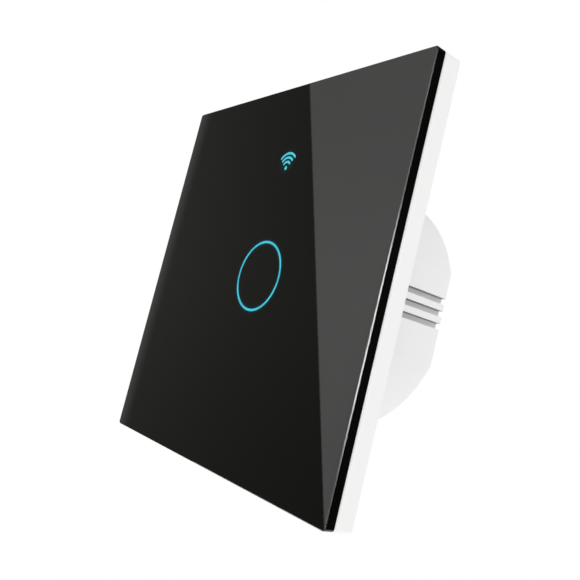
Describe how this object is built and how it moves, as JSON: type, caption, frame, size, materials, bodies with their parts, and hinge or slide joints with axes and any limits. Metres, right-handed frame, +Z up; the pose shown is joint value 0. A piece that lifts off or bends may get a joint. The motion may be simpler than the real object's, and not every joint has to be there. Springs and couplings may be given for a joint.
{
  "type": "touch light switch",
  "caption": "Wall touch switch: square black glass front on a white frame, glowing ring key and signal symbol, round white body behind with terminals.",
  "frame": {"origin": "centre of the wall plate's back face, midway between the two wall-screw slots", "axes": "+X to the right seen from the room, +Y into the wall, +Z up"},
  "size_m": [0.086, 0.0344, 0.086],
  "materials": {
    "glass": "polished",
    "black_ink": "satin",
    "cyan_light": "satin",
    "white_frame": "satin",
    "white_housing": "fine texture",
    "diffuser": "frosted",
    "conductive_foam": "matte",
    "circuit_board": "satin lacquer",
    "lamp": "clear",
    "tinned_metal": "tinned",
    "black_package": "moulded",
    "chip_part": "fired",
    "zinc_screw": "zinc plated",
    "brass": "plain",
    "terminal_body": "moulded",
    "ferrite": "sintered",
    "bobbin": "moulded",
    "yellow_tape": "film tape",
    "capacitor_sleeve": "shrunk sleeve",
    "film_yellow": "moulded",
    "varistor_blue": "dipped",
    "relay_black": "moulded",
    "copper": "enamelled",
    "relay_iron": "plated",
    "contact_bronze": "spring bronze"
  },
  "bodies": {
    "wall_part": {"base_plate": "white_housing", "rear_housing": "white_housing", "housing_screws": "zinc_screw", "power_board": "circuit_board", "header_strip": "black_package", "header_pins": "brass", "terminal_block": "terminal_body", "terminal_bars": "brass", "transformer_core": "ferrite", "transformer_bobbin": "bobbin", "transformer_winding": "yellow_tape", "input_capacitor": "capacitor_sleeve", "output_capacitor": "capacitor_sleeve", "film_capacitor": "film_yellow", "fuse": "black_package", "varistor": "varistor_blue", "bridge_rectifier": "black_package", "power_controller": "black_package", "power_board_parts": "chip_part", "relay_base": "relay_black", "relay_cover": "relay_black", "relay_yoke": "relay_iron", "relay_bobbin": "bobbin", "relay_winding": "copper", "relay_core": "relay_iron", "relay_fixed_contact": "contact_bronze"},
    "front_panel": {"glass_panel": "glass", "ink_film": "black_ink", "key_ring_mark": "cyan_light", "symbol_mark": "cyan_light", "panel_frame": "white_frame", "ring_light_guide": "diffuser", "symbol_light_guide": "diffuser", "touch_electrode": "conductive_foam", "indicator_lamps": "lamp", "touch_board": "circuit_board", "radio_module": "circuit_board", "radio_shield": "tinned_metal", "touch_controller": "black_package", "touch_board_parts": "chip_part", "header_socket": "black_package"},
    "relay_armature": {"relay_armature": "relay_iron", "relay_contact_leaf": "contact_bronze"},
    "terminal_screw_1": {"terminal_screw_1": "zinc_screw"},
    "terminal_cage_1": {"terminal_cage_1": "brass"},
    "terminal_screw_2": {"terminal_screw_2": "zinc_screw"},
    "terminal_cage_2": {"terminal_cage_2": "brass"},
    "terminal_screw_3": {"terminal_screw_3": "zinc_screw"},
    "terminal_cage_3": {"terminal_cage_3": "brass"}
  },
  "joints": [
    {"name": "panel_pull", "type": "slide", "parent": "wall_part", "child": "front_panel", "axis": [0, -1, 0], "range_m": [0, 0.03]},
    {"name": "armature_tip", "type": "hinge", "parent": "wall_part", "child": "relay_armature", "pos_m": [-0.017, 0.0172, -0.0083], "axis": [1, 0, 0], "range_deg": [0, 2.5], "stiffness_Nm_per_rad": 0.02, "springref_deg": -5.73},
    {"name": "clamp_turn_1", "type": "hinge", "parent": "wall_part", "child": "terminal_screw_1", "pos_m": [-0.007, 0.01985, -0.0221], "axis": [0, -1, 0], "range_deg": [0, 1440]},
    {"name": "cage_climb_1", "type": "slide", "parent": "wall_part", "child": "terminal_cage_1", "axis": [0, 1, 0], "range_m": [0, 0.002]},
    {"name": "clamp_turn_2", "type": "hinge", "parent": "wall_part", "child": "terminal_screw_2", "pos_m": [0, 0.01985, -0.0221], "axis": [0, -1, 0], "range_deg": [0, 1440]},
    {"name": "cage_climb_2", "type": "slide", "parent": "wall_part", "child": "terminal_cage_2", "axis": [0, 1, 0], "range_m": [0, 0.002]},
    {"name": "clamp_turn_3", "type": "hinge", "parent": "wall_part", "child": "terminal_screw_3", "pos_m": [0.007, 0.01985, -0.0221], "axis": [0, -1, 0], "range_deg": [0, 1440]},
    {"name": "cage_climb_3", "type": "slide", "parent": "wall_part", "child": "terminal_cage_3", "axis": [0, 1, 0], "range_m": [0, 0.002]}
  ],
  "couplings": [
    {"joint": "clamp_turn_1", "follows": "cage_climb_1", "rad_per_m": 12566},
    {"joint": "clamp_turn_2", "follows": "cage_climb_2", "rad_per_m": 12566},
    {"joint": "clamp_turn_3", "follows": "cage_climb_3", "rad_per_m": 12566}
  ]
}
